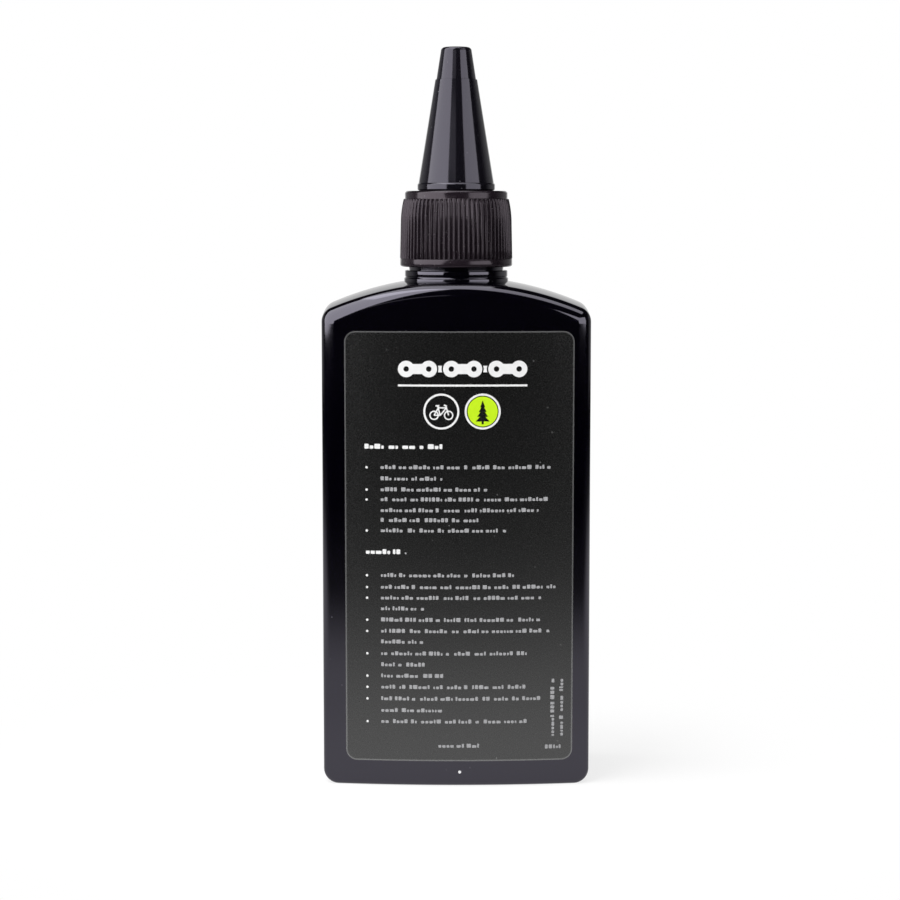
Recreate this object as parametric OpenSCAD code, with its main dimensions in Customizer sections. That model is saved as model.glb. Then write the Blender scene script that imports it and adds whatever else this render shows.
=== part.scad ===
// Oblong squeeze bottle for chain lubricant: a blown body with a screw neck,
// a back label, and a ribbed screw collar whose spout carries a tall cone cap.
// Lengths are millimetres, +Z is up and the origin is the centre of the base.
// The label is on the -Y face.

/* [Bottle body] */
// Width of the body, side to side
body_w = 54.1; // [48:0.1:70]
// Depth of the body, front to back, at its middle
body_d = 29; // [26:0.5:40]
// Height of the straight sides, up to the shoulder corners
side_h = 95; // [94:0.5:130]
// Radius of the arched shoulder, seen from the front
shoulder_r = 64.5; // [50:0.5:90]
// How far the shoulder falls towards the front and back edges
shoulder_drop = 1.4; // [0:0.1:2.5]
// Radius of the edges round both large faces, at the shoulder
edge_r = 2.7; // [2:0.1:5]
// Radius of those edges at the base
foot_edge_r = 1.6; // [1.4:0.1:2.6]
// Radius of the body's corners, seen from the front
corner_r = 3; // [2.8:0.1:7]
// Plan radius of the bowed front and back faces
face_r = 170; // [140:5:400]
// Wall of the blown body
wall = 1.1; // [0.8:0.1:1.8]
// Thickness of the base at its standing ring
base_t = 2.2; // [1.8:0.1:3]
// Depth of the pushed-up middle of the base
push_up = 1; // [0.4:0.1:1.2]
// Width of the flat standing ring
foot_w = 1.8; // [1:0.1:3]

/* [Neck] */
// Height of the neck above the crown of the shoulder
neck_h = 15.1; // [14:0.1:20]
// Radius of the neck's bore
neck_bore_r = 7.4; // [6.5:0.1:7.8]
// Radius of the neck wall between the thread turns
neck_r = 8.75; // [8.4:0.05:9]
// Radius of the collar-stop bead under the closure
bead_r = 10.5; // [10:0.05:11]
// Height of that bead
bead_h = 1.3; // [0.8:0.1:1.6]
// Radius of the lower ring, where the neck meets the shoulder
root_ring_r = 10.65; // [10.4:0.05:11.2]
// Radius of the foot of the neck, where it flares into the shoulder
root_r = 11.6; // [11:0.1:12.5]

/* [Screw thread] */
// Rise of the thread in one turn
thread_pitch = 3.175; // [3:0.025:3.6]
// Turns of the bottle's thread
thread_turns = 1.5; // [1:0.25:2]
// Height of the bottle's thread over the neck wall
thread_h = 1.05; // [0.8:0.05:1.15]
// Width of a thread at its crest
crest_w = 0.7; // [0.5:0.05:0.9]
// Radial clearance of each crest to the wall facing it
thread_gap = 0.25; // [0.15:0.05:0.4]
// Clearance between the two flanks that pull the collar down
flank_gap = 0.15; // [0.08:0.01:0.3]

/* [Screw collar] */
// Radius of the plain band at the collar's foot
band_r = 11.45; // [11.2:0.05:13]
// Height of that band
band_h = 1.6; // [1:0.1:3]
// Height of the collar's skirt below the neck's top
skirt_h = 13; // [12:0.1:13.2]
// Number of grip ribs
rib_count = 70; // [24:1:90]
// Depth of the grooves between the ribs at the foot
rib_depth = 0.55; // [0.2:0.05:0.7]
// How far the ribs lean in over their straight part
rib_lean = 0.15; // [0:0.05:0.4]
// Height over which the ribs round over into the rim
rib_round_h = 5; // [3:0.5:7]
// How far they round in
rib_round = 0.6; // [0.3:0.05:0.9]
// Radius of the plain rim on top of the collar
rim_r = 10.45; // [10.1:0.05:10.6]
// Height of that rim
rim_h = 1.6; // [0.8:0.1:2.5]
// Thickness of the collar's top
plate_t = 1.5; // [1.2:0.1:2.5]

/* [Foam liner] */
// Thickness of the liner ring
liner_t = 0.8; // [0.5:0.1:1.5]
// Radius of the liner's hole
liner_hole_r = 6; // [5:0.1:6.5]

/* [Spout] */
// Radius of the plug seat that the cone cap grips
seat_r = 6.1; // [5.6:0.1:6.3]
// Height of the plug seat
seat_h = 4; // [3:0.1:6]
// Height of the grip bead's rise over the seat
grip = 0.15; // [0.05:0.05:0.2]
// Radius of the spout cone at its foot
spout_foot_r = 5.1; // [4.8:0.1:5.3]
// Radius of the spout's tip
spout_tip_r = 1.9; // [1.7:0.05:2]
// Height of the spout's tip above the collar's top
spout_h = 23.5; // [18:0.5:24]
// Radius of the outlet in the tip
outlet_r = 0.95; // [0.8:0.05:1.1]
// Radius of the passage at the spout's foot
passage_r = 4; // [3.8:0.1:4.2]

/* [Cone cap] */
// Height of the cone cap
cap_h = 28.9; // [28:0.1:36]
// Radius of the bead round its foot
cap_bead_r = 7.9; // [7.6:0.02:8.2]
// Height of that bead
cap_bead_h = 1.6; // [1:0.1:2.5]
// Radius of the cone just above the bead
cone_foot_r = 7.66; // [7.4:0.02:7.8]
// Radius of the cone just below the tip's step
cone_top_r = 4.26; // [4.1:0.02:4.6]
// Length of the narrower tip above the step
tip_l = 6.5; // [5:0.1:7]
// Radius of the tip just above the step
tip_foot_r = 4.02; // [3.7:0.02:4.1]
// Radius of the tip at its top, before the edge rounds over
tip_top_r = 3.14; // [2.8:0.02:3.4]
// Radius of the rounded top edge
tip_round = 0.8; // [0.4:0.05:1]
// Wall of the cone cap
cap_wall = 1.15; // [1:0.05:1.2]
// Clearance of the cap's bore to the grip bead
cap_fit = 0.05; // [0.03:0.01:0.1]
// Clearance of the cap's stopper pin in the outlet
pin_fit = 0.1; // [0.05:0.01:0.2]
// Length of the stopper pin inside the outlet
pin_l = 2.4; // [1:0.1:4]

/* [Back label] */
// Width of the label, measured across the bottle
label_w = 46; // [30:0.1:46.2]
// Height of the label
label_h = 87.3; // [60:0.1:88]
// Height of its lower edge above the base
label_z = 5.2; // [5:0.1:6]
// How far it was stuck off centre
label_shift = 0.6; // [-0.6:0.1:0.6]
// Radius of its corners
label_r = 2.2; // [1:0.1:5]
// Thickness of the label film
label_t = 0.15; // [0.1:0.01:0.3]
// Thickness of the printed ink
ink_t = 0.04; // [0.02:0.01:0.1]

/* [Label print] */
// Height of the upright strokes of the small print
small_h = 1.15; // [0.8:0.05:1.5]
// Height of the two printed headings
heading_h = 1.7; // [1:0.1:2.2]
// Space between two printed words
word_gap = 0.55; // [0.3:0.05:1]
// Radius of the two roundels
roundel_r = 3.6; // [2.5:0.1:4]
// Width of a roundel's ring
roundel_ring = 0.4; // [0.2:0.05:0.8]
// Depth of the title's chain strip below the label's top
title_drop = 7.5; // [6:0.1:9]
// Depth of the rule under it
rule_drop = 11; // [9:0.1:12]
// Length of that rule
rule_l = 25.8; // [15:0.1:30]
// Thickness of that rule
rule_t = 0.4; // [0.2:0.05:0.8]
// Depth of the roundels
roundel_drop = 16; // [15:0.1:18]
// Place of the left roundel, left of the label's middle
roundel_left = 3.6; // [3.5:0.05:6]
// Place of the right roundel, right of the label's middle
roundel_right = 4.65; // [4:0.05:6]
// Depth of the first heading
heading1_drop = 23.1; // [21:0.1:25]
// Length of the first heading
heading1_l = 15.6; // [6:0.1:30]
// Depth of the second heading
heading2_drop = 44.4; // [42:0.1:46.5]
// Length of the second heading
heading2_l = 8.2; // [6:0.1:30]

/* [Hidden] */

$fn = 96;
eps = 0.01;
film_gap = 0.02;
ink_gap = 0.005;

// Heights that the pieces stack up to
arch_z = side_h - sqrt(pow(shoulder_r - corner_r, 2) - pow(body_w / 2 - corner_r, 2));
crown_z = arch_z + shoulder_r;
neck_top = crown_z + neck_h;
collar_z = neck_top - skirt_h;
liner_z = neck_top;
plate_z = liner_z + liner_t;
collar_top = plate_z + plate_t;
cap_z = collar_top;
cap_top = cap_z + cap_h;

black_gloss = [0.05, 0.045, 0.06];
black_satin = [0.16, 0.15, 0.17];
film_grey = [0.13, 0.13, 0.13];

// Blown body: a slab with rounded edges, bowed faces and a crowned shoulder.
// It is a stack of closed loops, each the front outline drawn in by the edge
// round, set one behind the other from the front face to the back face. The
// edge round is small at the base and widens up the sides to the shoulder.

// Share of the half depth that is left at x, so that a face bows on face_r
function bow(x) = 1 - (face_r - sqrt(face_r * face_r - x * x)) / (body_d / 2);
function ramp(t) = t <= 0 ? 0 : t >= 1 ? 1 : t * t * (3 - 2 * t);
// Height lost at the front and back of the shoulder
function sag(y, z) = shoulder_drop * pow(y / (body_d / 2), 2) * ramp((z - side_h + 14) / 16);
function shaped(p) = [p[0], p[1] * bow(p[0]), p[2] - sag(p[1], p[2])];
function arc(cx, cz, r, a0, a1, n) =
    [for (i = [0:n]) [cx + r * cos(a0 + (a1 - a0) * i / n), cz + r * sin(a0 + (a1 - a0) * i / n)]];

// Lower and upper half of the outline, left to right, with as many points each.
// t is the wall taken off and e how far the edge round has drawn the outline in
function lower_row(t, floor_z, e, n, m) =
    let (w = body_w / 2 - corner_r, r = corner_r - t - e, z = floor_z + corner_r - t)
    concat(arc(-w, z, r, 180, 270, m),
           [for (i = [1:n - 1]) [w * (2 * i / n - 1), floor_z + e]],
           arc(w, z, r, 270, 360, m));
function upper_row(t, e, n, m) =
    let (w = body_w / 2 - corner_r, r = corner_r - t - e, big = shoulder_r - t - e)
    let (lean = asin(w / (shoulder_r - corner_r)))
    concat(arc(-w, side_h, r, 180, 90 + lean, m),
           [for (i = [1:n - 1]) let (a = asin(sin(lean) * (2 * i / n - 1)))
               [big * sin(a), arch_z + big * cos(a)]],
           arc(w, side_h, r, 90 - lean, 0, m));
function turned(v) = [for (i = [len(v) - 1:-1:0]) v[i]];

module slab(t, floor_z, n, m, p, q) {
    // Draw-in, flat part and rounded part of each loop as shares, front to back
    front = [for (i = [0:p]) [1 - sin(90 * i / p), -1, -cos(90 * i / p)]];
    middle = [for (i = [1:q - 1]) [0, 2 * i / q - 1, 0]];
    back = [for (s = turned(front)) [s[0], -s[1], -s[2]]];
    stations = concat(front, middle, back);
    k = 2 * (m + 1) + n - 1;
    count = 2 * k;
    // Depth of a loop where the edge's radius is r
    function depth(s, r) = s[1] * (body_d / 2 - r) + s[2] * (r - t);
    points = [for (s = stations) each concat(
        [for (v = lower_row(t, floor_z, s[0] * (foot_edge_r - t), n, m))
            shaped([v[0], depth(s, foot_edge_r), v[1]])],
        [for (v = turned(upper_row(t, s[0] * (edge_r - t), n, m)))
            shaped([v[0], depth(s, edge_r), v[1]])])];
    last = (len(stations) - 1) * count;
    around = [for (j = [0:len(stations) - 2]) for (i = [0:count - 1])
        let (a = j * count + i, b = j * count + (i + 1) % count)
        each [[a, b + count, a + count], [a, b, b + count]]];
    face_front = [for (i = [0:k - 2])
        each [[i, count - 2 - i, i + 1], [i, count - 1 - i, count - 2 - i]]];
    face_back = [for (f = face_front) [f[0] + last, f[2] + last, f[1] + last]];
    polyhedron(points, concat(around, face_front, face_back));
}

// Screw thread: a ridge of trapezoid section swept up a right-hand helix.
// foot and crest are its radii, z the height of its lower end
module ridge(foot, crest, z, turns, phase) {
    step = 12;
    fade = 36;
    sweep = 360 * turns;
    count = ceil(sweep / step);
    flank = abs(crest - foot) * tan(30);
    // The ridge rises from the wall at both of its ends
    function rise(a) = 0.12 + 0.88 * min(1, a / fade, (sweep - a) / fade);
    points = [for (i = [0:count]) let (a = sweep * i / count, r = foot + (crest - foot) * rise(a),
                                       h = z + thread_pitch * a / 360, w = crest_w / 2,
                                       g = w + flank * rise(a))
        each [[foot * cos(a), foot * sin(a), h - g], [r * cos(a), r * sin(a), h - w],
              [r * cos(a), r * sin(a), h + w], [foot * cos(a), foot * sin(a), h + g]]];
    out = crest > foot;
    sides = [for (i = [0:count - 1]) for (s = [0:3])
        let (a = 4 * i + s, b = 4 * i + (s + 1) % 4)
        each [[a, a + 4, b + 4], [a, b + 4, b]]];
    ends = [[0, 1, 2], [0, 2, 3], [4 * count, 4 * count + 2, 4 * count + 1],
            [4 * count, 4 * count + 3, 4 * count + 2]];
    faces = concat(sides, ends);
    rotate(phase) polyhedron(points, out ? [for (f = faces) [f[0], f[2], f[1]]] : faces);
}

male_crest_r = neck_r + thread_h;
bore_r = male_crest_r + thread_gap;
female_crest_r = neck_r + thread_gap;
root_in = 0.3;
male_z = neck_top - 1.9 - thread_turns * thread_pitch;
// Axial width of a ridge halfway up the room between neck and collar
half_w = crest_w + tan(30) * (bore_r - neck_r - thread_gap + root_in) / 2;
// The collar's ridge lies below the bottle's by a half pitch, drawn up to its flank
female_drop = thread_pitch / 2 - (thread_pitch / 2 - half_w - flank_gap) / 2;
female_turns = 1.5;
female_z = male_z - female_drop;

neck_foot_z = crown_z - wall - 1;
bead_z = collar_z - 0.75 - bead_h;
ring_z = bead_z - 0.25;
undercut_r = neck_r + 1.1;

module neck_blank() {
    rotate_extrude() polygon(concat(
        [[0, neck_foot_z], [root_r, neck_foot_z], [root_r, crown_z - 1.6]],
        // Flare into the lower ring
        [[root_ring_r + 0.5, ring_z - 0.8], [root_ring_r + 0.1, ring_z - 0.6],
         [root_ring_r, ring_z - 0.45], [root_ring_r, ring_z - 0.2], [root_ring_r - 0.25, ring_z]],
        // Rounded bead that the collar stops above
        [[bead_r - 0.2, bead_z], [bead_r, bead_z + 0.25], [bead_r, bead_z + bead_h - 0.35],
         [bead_r - 0.35, bead_z + bead_h]],
        // Undercut and the plain wall that carries the thread
        [[undercut_r, bead_z + bead_h], [undercut_r, collar_z + 0.9], [neck_r, collar_z + 1.5],
         [neck_r, neck_top - 0.3], [neck_r - 0.3, neck_top], [0, neck_top]]));
}

hollow_r = 4;
hollow_slope = 1.5;
module base_hollow() {
    w = body_w / 2 - corner_r - foot_w;
    d = (body_d / 2 - foot_edge_r) * bow(w) - foot_w;
    hull() for (x = [-1, 1]) for (y = [-1, 1])
        translate([x * (w - hollow_r), y * (d - hollow_r), -push_up])
            cylinder(h = 2 * push_up, r1 = hollow_r + hollow_slope, r2 = hollow_r - hollow_slope, $fn = 32);
}

module bottle() {
    color(black_gloss) {
        difference() {
            union() {
                slab(0, 0, 32, 6, 6, 4);
                neck_blank();
            }
            slab(wall, base_t, 16, 3, 3, 2);
            translate([0, 0, crown_z - wall - 6]) cylinder(h = neck_h + wall + 7, r = neck_bore_r);
            base_hollow();
        }
        ridge(neck_r - root_in, male_crest_r, male_z, thread_turns, 0);
    }
}

// Foam ring between the neck's rim and the collar's top
module liner() {
    color([0.85, 0.85, 0.83]) translate([0, 0, liner_z]) difference() {
        cylinder(h = liner_t, r = bore_r - 0.15);
        translate([0, 0, -1]) cylinder(h = liner_t + 2, r = liner_hole_r);
    }
}

// Outline of the rib crests from the band up to the rim
function crest_r(z) =
    let (low = collar_z + band_h, high = collar_top - rim_h, bend = high - rib_round_h)
    band_r + 0.02 - rib_lean * min(1, (z - low) / (bend - low))
           - rib_round * pow(max(0, z - bend) / rib_round_h, 2);

module grip_ribs() {
    low = collar_z + band_h;
    high = collar_top - rim_h;
    valley = band_r - rib_depth;
    pitch = 360 / rib_count;
    intersection() {
        translate([0, 0, low - 0.2]) linear_extrude(high - low + 0.2)
            polygon([for (i = [0:rib_count - 1]) for (s = [[0, -0.14], [1, 0.14], [2, 0.32], [3, 0.68]])
                let (a = (i + s[1]) * pitch, r = s[0] < 2 ? valley : band_r + 0.3)
                [r * cos(a), r * sin(a)]]);
        rotate_extrude() polygon(concat(
            [[0, low - 0.2], [band_r, low - 0.2]],
            [for (i = [0:8]) let (z = low + (high - low) * (i < 1 ? 0 : 0.55 + 0.45 * (i - 1) / 7))
                [crest_r(z), z]],
            [[rim_r, high], [0, high]]));
    }
}

module spout_collar() {
    spout_z = collar_top + seat_h;
    tip_z = collar_top + spout_h;
    color(black_satin) {
        difference() {
            union() {
                grip_ribs();
                // Band, core, rim, top and spout turned in one profile
                rotate_extrude() polygon([
                    [0, collar_z], [band_r - 0.2, collar_z], [band_r, collar_z + 0.2],
                    [band_r, collar_z + band_h], [bore_r + 0.3, collar_z + band_h],
                    [bore_r + 0.2, plate_z - 1], [rim_r, collar_top - rim_h],
                    [rim_r, collar_top - 0.3], [rim_r - 0.3, collar_top],
                    [seat_r, collar_top], [seat_r, spout_z - 2.2],
                    [seat_r + grip, spout_z - 1.9], [seat_r + grip, spout_z - 1.3],
                    [seat_r, spout_z - 1], [seat_r, spout_z - 0.4], [seat_r - 0.4, spout_z],
                    [spout_foot_r, spout_z], [spout_tip_r, tip_z - 0.3],
                    [spout_tip_r - 0.3, tip_z], [0, tip_z]]);
            }
            translate([0, 0, collar_z - 1]) cylinder(h = plate_z - collar_z + 1, r = bore_r);
            // Lead-in at the mouth of the skirt
            translate([0, 0, collar_z - eps]) cylinder(h = 0.5, r1 = bore_r + 0.4, r2 = bore_r);
            // Passage up the spout to the outlet
            rotate_extrude() polygon([
                [0, plate_z - 1], [passage_r, plate_z - 1], [passage_r, spout_z],
                [outlet_r, tip_z - pin_l - 0.6], [outlet_r, tip_z + 1], [0, tip_z + 1]]);
        }
        ridge(bore_r + root_in, female_crest_r, female_z, female_turns, 0);
    }
}

module cone_cap() {
    step_z = cap_top - tip_l;
    inner_top = cap_top - cap_wall;
    cone_z = cap_z + cap_bead_h;
    bore = seat_r + grip + cap_fit;
    bore_h = seat_h + 0.4;
    tip_edge_r = tip_top_r;
    // Inside of the cone, a wall in from the outside
    inside_slope = (cone_foot_r - cone_top_r) / (step_z - cone_z);
    function inside_r(z) = cone_foot_r - (z - cone_z) * inside_slope - cap_wall;
    color(black_gloss) rotate_extrude() polygon(concat(
        // Foot, bead, cone and stepped tip
        [[bore + 0.3, cap_z], [cap_bead_r - 0.35, cap_z], [cap_bead_r, cap_z + 0.35],
         [cap_bead_r, cone_z - 0.25], [cap_bead_r - 0.15, cone_z - 0.05], [cone_foot_r, cone_z],
         [cone_top_r, step_z - 0.05], [tip_foot_r, step_z + 0.1]],
        [for (i = [0:4]) let (a = 90 * i / 4)
            [tip_edge_r - tip_round * (1 - cos(a)), cap_top - tip_round + tip_round * sin(a)]],
        [[0, cap_top]],
        // Stopper pin, inside of the tip and the bore on the seat
        [[0, collar_top + spout_h - pin_l], [outlet_r - pin_fit - 0.2, collar_top + spout_h - pin_l],
         [outlet_r - pin_fit, collar_top + spout_h - pin_l + 0.3], [outlet_r - pin_fit, inner_top],
         [tip_top_r - cap_wall, inner_top], [tip_foot_r - cap_wall, step_z],
         [inside_r(step_z), step_z - 0.6], [inside_r(cap_z + bore_h + 0.4), cap_z + bore_h + 0.4],
         [bore, cap_z + bore_h], [bore, cap_z + 0.4]]));
}

// Back label: thin shells on the bow of the -Y face, cut to a drawn outline

module on_face(lift, thick) {
    intersection() {
        translate([0, face_r - body_d / 2, label_z - 1]) difference() {
            cylinder(h = label_h + 2, r = face_r + lift + thick, $fn = 720);
            translate([0, 0, -1]) cylinder(h = label_h + 4, r = face_r + lift, $fn = 720);
        }
        translate([0, -body_d / 2 + 4, 0]) rotate([90, 0, 0]) linear_extrude(6) children();
    }
}

module rounded(w, h, r) {
    for (x = [-1, 1]) for (y = [-1, 1])
        translate([x * (w / 2 - r), y * (h / 2 - r)]) circle(r, $fn = 32);
    square([w, h - 2 * r], center = true);
    square([w - 2 * r, h], center = true);
}

module back_label() {
    color(film_grey) on_face(film_gap, label_t)
        translate([label_shift, label_z + label_h / 2]) rounded(label_w, label_h, label_r);
}

module ink() {
    on_face(film_gap + label_t + ink_gap, ink_t) children();
}

label_top = label_z + label_h;
text_x = label_shift - label_w / 2;

// One line of small print: words as plain bars, the lengths taken in turn
word_l = [3.1, 1.5, 4.3, 2.2, 2.9, 1.1, 3.6, 2.5, 4.9, 1.8];
module words(x, z, length, h, first) {
    function fill(at, i) = let (w = word_l[i % len(word_l)])
        at + w >= length - 0.8 ? [[at, length - at]]
                               : concat([[at, w]], fill(at + w + word_gap, i + 1));
    for (s = fill(0, first)) translate([x + s[0], z - h / 2]) square([s[1], h]);
}

// Height below the label's top and length of each line, and whether a dot leads it
first_block = [[27.3, 34.2, 1], [29.6, 12.7, 0], [31.8, 21.7, 1], [33.8, 33.6, 1],
               [36, 32.1, 0], [38, 19.6, 0], [40.1, 25.3, 1]];
second_block = [[49.2, 26.8, 1], [51.6, 35.2, 1], [53.8, 32.3, 1], [56, 8.7, 0],
                [58.3, 32.1, 1], [60.6, 34, 1], [62.8, 8.5, 0], [65.2, 29.8, 1],
                [67.5, 8.9, 0], [69.8, 12.9, 1], [72.1, 29.2, 1], [74.5, 32.6, 1],
                [76.9, 12.3, 0], [79.2, 29.5, 1]];
text_in = 7.2;
dot_in = 4.4;
dot_r = 0.33;
heading1_in = 4;
heading2_in = 4.2;
// Line at the foot, code beside it and the two upright lines above the code
foot_line = [4.2, 84.2, 8.5];
code_line = [40.4, 84.6, 3.5];
upright_in = [42, 43.8];
upright_drop = 82.3;
upright_l = 11.8;

module text_block(lines) {
    for (i = [0:len(lines) - 1]) {
        words(text_x + text_in, label_top - lines[i][0], lines[i][1], small_h / 2, 3 * i);
        if (lines[i][2] == 1) translate([text_x + dot_in, label_top - lines[i][0]])
            circle(dot_r, $fn = 16);
    }
}

// Title place: a strip of roller chain seen from the side
link_pitch = 4.5;
link_r = 1.65;
links = 5;
title_in = 0.65;
title_z = label_top - title_drop;
title_x = label_shift + title_in;
module plate_shape(r, waist) {
    for (x = [0, link_pitch]) translate([x, 0]) circle(r, $fn = 32);
    translate([0, -waist / 2]) square([link_pitch, waist]);
}
module chain_strip() {
    translate([title_x - links * link_pitch / 2, title_z]) {
        for (i = [0:links - 1]) difference() {
            if (i % 2 == 0) translate([i * link_pitch, 0]) plate_shape(link_r, 2);
            else difference() {
                translate([i * link_pitch, 0]) plate_shape(link_r - 0.25, 1.3);
                for (j = [i - 1, i + 1]) translate([j * link_pitch, 0]) plate_shape(link_r + 0.3, 2.6);
            }
            for (x = [0, 1]) translate([(i + x) * link_pitch, 0]) circle(0.55, $fn = 20);
        }
    }
}

module ring(r, w) {
    difference() {
        circle(r, $fn = 64);
        circle(r - w, $fn = 64);
    }
}

module bar(x0, y0, x1, y1, w) {
    translate([x0, y0]) rotate(atan2(y1 - y0, x1 - x0))
        translate([0, -w / 2]) square([norm([x1 - x0, y1 - y0]), w]);
}

// Plain bicycle of two wheels and a diamond frame
module bicycle() {
    wheel = 0.95;
    line = 0.26;
    for (x = [-1.45, 1.45]) translate([x, -0.75]) ring(wheel, line);
    bar(-1.45, -0.75, -0.6, 0.75, line);
    bar(-0.6, 0.75, 1.0, 0.75, line);
    bar(1.45, -0.75, 0.9, 1.1, line);
    bar(1.0, 0.75, -0.2, -0.75, line);
    bar(-0.2, -0.75, -0.75, 1.1, line);
    bar(-1.45, -0.75, -0.2, -0.75, line);
    bar(-1.15, 1.15, -0.4, 1.15, 0.32);
    bar(0.5, 1.3, 1.1, 1.1, 0.3);
}

// Plain conifer of four tiers and a trunk: foot, half width and height of each
tiers = [[0.85, 0.5, 1.4], [-0.1, 0.8, 1.5], [-1.05, 1.1, 1.6], [-2, 1.4, 1.6]];
module conifer() {
    for (t = tiers) translate([0, t[0]]) polygon([[-t[1], 0], [t[1], 0], [0, t[2]]]);
    translate([-0.22, -2.55]) square([0.44, 0.6]);
}

roundel_z = label_top - roundel_drop;
roundel_x = [label_shift - roundel_left, label_shift + roundel_right];

module label_print_white() {
    color("white") ink() {
        chain_strip();
        translate([title_x - rule_l / 2, label_top - rule_drop]) square([rule_l, rule_t]);
        for (x = roundel_x) translate([x, roundel_z]) ring(roundel_r, roundel_ring);
        translate([roundel_x[0], roundel_z]) bicycle();
        words(text_x + heading1_in, label_top - heading1_drop, heading1_l, heading_h / 2, 2);
        words(text_x + heading2_in, label_top - heading2_drop, heading2_l, heading_h / 2, 8);
        text_block(first_block);
        text_block(second_block);
        words(label_shift - foot_line[0], label_top - foot_line[1], foot_line[2], small_h / 2, 0);
        words(text_x + code_line[0], label_top - code_line[1], code_line[2], small_h / 2, 4);
        for (i = [0, 1]) translate([text_x + upright_in[i], label_top - upright_drop]) rotate(90)
            words(0, 0, upright_l, small_h / 2, 2 + 2 * i);
    }
}

module label_print_green() {
    color([0.71, 0.88, 0.06]) ink() translate([roundel_x[1], roundel_z]) difference() {
        circle(roundel_r - roundel_ring - 0.2, $fn = 64);
        conifer();
    }
}

bottle();
back_label();
label_print_white();
label_print_green();
liner();
spout_collar();
cone_cap();
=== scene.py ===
import math
import random

import bmesh
import bpy
from mathutils import Matrix, Vector


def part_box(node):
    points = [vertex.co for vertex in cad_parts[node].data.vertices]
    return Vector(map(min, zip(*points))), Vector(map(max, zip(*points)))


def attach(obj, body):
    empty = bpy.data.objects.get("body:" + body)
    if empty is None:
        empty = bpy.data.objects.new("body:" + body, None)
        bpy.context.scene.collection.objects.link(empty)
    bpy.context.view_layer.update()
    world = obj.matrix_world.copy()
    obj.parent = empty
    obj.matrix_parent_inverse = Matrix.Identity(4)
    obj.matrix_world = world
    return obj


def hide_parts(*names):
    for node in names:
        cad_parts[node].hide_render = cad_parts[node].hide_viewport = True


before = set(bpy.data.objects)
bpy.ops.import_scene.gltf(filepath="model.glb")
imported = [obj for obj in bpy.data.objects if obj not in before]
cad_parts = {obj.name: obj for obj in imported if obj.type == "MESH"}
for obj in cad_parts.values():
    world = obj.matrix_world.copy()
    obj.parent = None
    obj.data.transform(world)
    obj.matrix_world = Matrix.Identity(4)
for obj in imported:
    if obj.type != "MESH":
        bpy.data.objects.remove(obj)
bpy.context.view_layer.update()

bl_info = {
    "name": "Chain Lube Bottle",
    "version": (1, 0, 0),
    "blender": (4, 5, 0),
    "location": "3D View > Sidebar > Lube Bottle",
    "description": "Models an oblong lubricant bottle with its label, screw collar and cone cap",
    "category": "Add Mesh",
}

MM = 0.001
BOTTLE_LOW, BOTTLE_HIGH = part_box("bottle")
LABEL_LOW, LABEL_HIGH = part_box("back_label")
LINER_LOW, LINER_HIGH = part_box("liner")
COLLAR_LOW, COLLAR_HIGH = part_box("spout_collar")
CAP_LOW, CAP_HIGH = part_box("cone_cap")


# Properties

def length(name, text, millimetres):
    return bpy.props.FloatProperty(name=name, description=text, default=millimetres * MM,
                                   subtype="DISTANCE", unit="LENGTH", precision=5)


def colour(name, text, default):
    return bpy.props.FloatVectorProperty(name=name, description=text, default=default,
                                         subtype="COLOR", size=3, min=0.0, max=1.0)


def share(name, text, default):
    return bpy.props.FloatProperty(name=name, description=text, default=default,
                                   min=0.0, max=1.0, subtype="FACTOR")


class BodySizes(bpy.types.PropertyGroup):
    """Sizes of the blown body"""
    width: length("Width", "Width of the body, side to side", (BOTTLE_HIGH.x - BOTTLE_LOW.x) / MM)
    depth: length("Depth", "Depth of the body at its middle", (BOTTLE_HIGH.y - BOTTLE_LOW.y) / MM)
    side: length("Side", "Height of the straight sides", 95)
    arch: length("Arch", "Radius of the shoulder, seen from the front", 64.5)
    drop: length("Drop", "Fall of the shoulder to the front and back", 1.2)
    edge: length("Edge", "Radius of the rounded edges at the shoulder", 2.7)
    rim: length("Rim", "Width of the border round the large faces", 0.22)
    foot_edge: length("Foot edge", "Radius of those edges at the base", 0.9)
    corner: length("Corner", "Radius of the corners, seen from the front", 3)
    bow: length("Bow", "Plan radius of the front and back faces", 170)
    wall: length("Wall", "Wall of the body", 1.1)
    push_up: length("Push-up", "Depth of the hollow in the base", 1)
    foot: length("Foot", "Width of the standing ring", 1.8)


class NeckSizes(bpy.types.PropertyGroup):
    """Sizes of the screw neck and its thread"""
    bore: length("Bore", "Radius of the bore", 7.4)
    wall: length("Wall radius", "Radius of the neck between the thread turns", 8.75)
    undercut: length("Undercut", "Radius of the neck between its bead and the thread", 9.85)
    bead: length("Bead", "Radius of the bead that the collar stops above", 10.5)
    bead_h: length("Bead height", "Height of that bead", 1.3)
    bead_gap: length("Bead gap", "Gap between that bead and the closed collar", 0.75)
    root: length("Root", "Radius of the foot on the shoulder", 11.6)
    ring: length("Ring", "Radius of the lower ring", 10.65)
    ring_gap: length("Ring gap", "Gap between the ring and the bead", 0.25)
    thread: length("Thread", "Height of the thread over the neck wall", 1.05)
    pitch: length("Pitch", "Rise of the thread in one turn", 3.175)
    turns: bpy.props.FloatProperty(name="Turns", description="Turns of the thread", default=1.5)
    start: length("Start", "Depth of the thread's end below the neck's top", 1.9)
    embed: length("Embed", "How deep a thread's foot lies in its wall", 0.3)
    flank_gap: length("Flank gap", "Clearance of the flanks that pull the collar down", 0.15)
    crest: length("Crest", "Width of the thread at its crest", 0.7)
    gap: length("Gap", "Clearance of a crest to the wall facing it", 0.25)


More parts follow.
